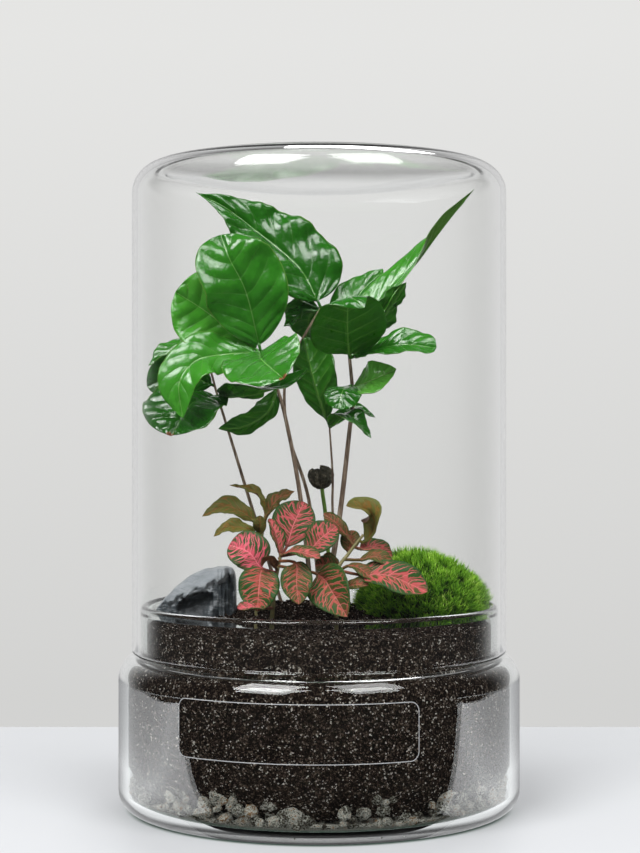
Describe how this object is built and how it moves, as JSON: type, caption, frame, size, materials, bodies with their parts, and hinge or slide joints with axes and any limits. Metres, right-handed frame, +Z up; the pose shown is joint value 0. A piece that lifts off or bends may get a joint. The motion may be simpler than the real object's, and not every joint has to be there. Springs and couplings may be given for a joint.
{
  "type": "glass plant terrarium",
  "caption": "Low round glass jar with gravel, soil, slate, moss and leafy seedlings, under a tall round glass cover that stands loose on the jar's shoulder.",
  "frame": {"origin": "centre of the jar's flat underside, on the table", "axes": "+Z up along the axis of jar and cover, -Y towards the viewer of the picture, +X to the right"},
  "size_m": [0.176, 0.176, 0.2814],
  "materials": {
    "jar_glass": "clear, polished",
    "cover_glass": "clear, polished",
    "pumice_gravel": "rough, porous",
    "potting_soil": "loose and matte, dark peat and bark",
    "slate": "worn smooth, satin",
    "moss": "soft, spiky, matte",
    "coffee_leaf": "waxy leaves, glossy",
    "nerve_plant_leaf": "matte leaves with red veins",
    "sprout_green": "smooth, satin",
    "seed_coat": "rough, matte"
  },
  "bodies": {
    "root": {"glass_jar": "jar_glass", "glass_cover": "cover_glass", "drainage_gravel": "pumice_gravel", "soil": "potting_soil", "slate_stone": "slate", "moss_cushion": "moss", "coffee_left": "coffee_leaf", "coffee_middle": "coffee_leaf", "coffee_rear": "coffee_leaf", "coffee_slim": "coffee_leaf", "coffee_right": "coffee_leaf", "fittonia_left": "nerve_plant_leaf", "fittonia_rear": "nerve_plant_leaf", "fittonia_right": "nerve_plant_leaf", "sprout_stem": "sprout_green", "sprout_seed": "seed_coat"}
  },
  "joints": []
}
